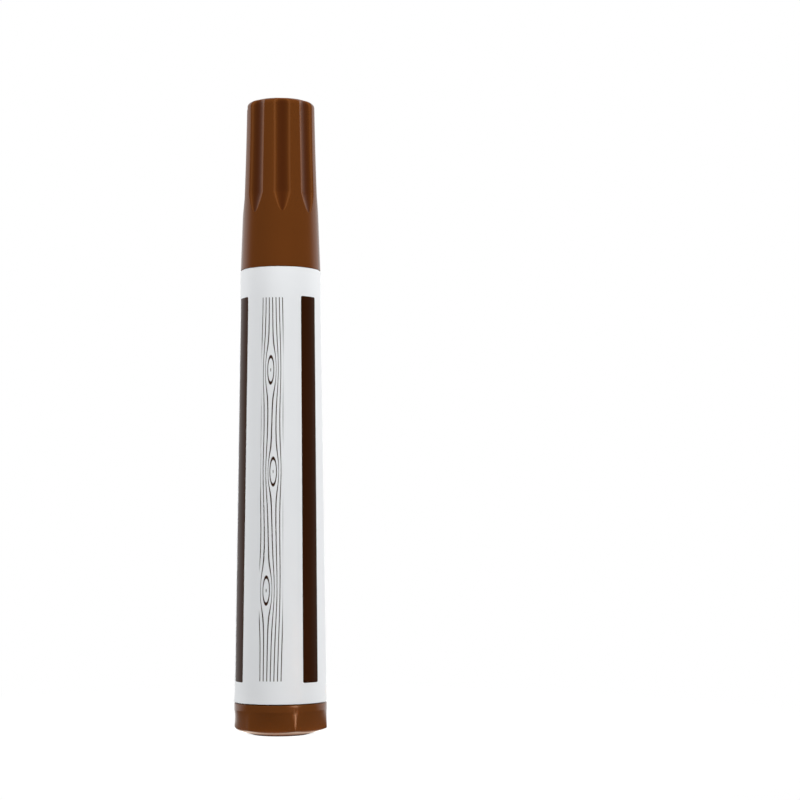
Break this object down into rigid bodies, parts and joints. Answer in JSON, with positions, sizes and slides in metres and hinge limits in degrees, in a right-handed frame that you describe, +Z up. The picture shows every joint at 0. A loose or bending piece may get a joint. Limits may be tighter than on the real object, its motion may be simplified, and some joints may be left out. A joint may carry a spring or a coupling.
{
  "type": "furniture touch-up paint pen",
  "caption": "Capped valve-action paint pen with a tapered labelled barrel, fluted pull-off cap, faceted tail plug, pump-action felt nib and loose mixing balls.",
  "frame": {"origin": "centre of the tail plug's foot, on the surface the pen stands on", "axes": "+Z up along the pen's axis from tail to cap, -Y out of the middle of the label"},
  "size_m": [0.018, 0.0174, 0.12],
  "materials": {
    "barrel_plastic": "satin moulded",
    "label_film": "glossy printed film",
    "brown_plastic": "satin gloss moulded",
    "holder_plastic": "satin moulded",
    "nib_felt": "paint-soaked felt",
    "valve_plastic": "natural moulded",
    "stem_plastic": "satin moulded",
    "spring_steel": "drawn wire",
    "ball_steel": "polished",
    "liner_plastic": "soft natural"
  },
  "bodies": {
    "pen_body": {"barrel": "barrel_plastic", "label_sleeve": "label_film", "tail_plug": "brown_plastic", "tip_holder": "holder_plastic", "valve_housing": "valve_plastic", "spring_retainer": "valve_plastic", "valve_spring": "spring_steel"},
    "cap": {"cap_shell": "brown_plastic", "cap_liner": "liner_plastic"},
    "nib_rod": {"nib": "nib_felt"},
    "stem": {"valve_stem": "stem_plastic"},
    "ball_1": {"mixing_ball_1": "ball_steel"},
    "ball_2": {"mixing_ball_2": "ball_steel"}
  },
  "joints": [
    {"name": "cap_pull", "type": "slide", "parent": "pen_body", "child": "cap", "axis": [0, 0, 1], "range_m": [0, 0.035]},
    {"name": "nib_press", "type": "slide", "parent": "pen_body", "child": "nib_rod", "axis": [0, 0, -1], "range_m": [0, 0.002], "stiffness_N_per_m": 250, "springref_m": -0.004},
    {"name": "valve_open", "type": "slide", "parent": "pen_body", "child": "stem", "axis": [0, 0, -1], "range_m": [0, 0.002], "deforming": ["valve_spring"]},
    {"name": "ball_1_rattle", "type": "slide", "parent": "pen_body", "child": "ball_1", "axis": [0, 0, 1], "range_m": [0, 0.0635]},
    {"name": "ball_2_rattle", "type": "slide", "parent": "pen_body", "child": "ball_2", "axis": [0, 0, 1], "range_m": [0, 0.0635]}
  ],
  "couplings": [
    {"joint": "valve_open", "follows": "nib_press", "ratio": 1}
  ]
}
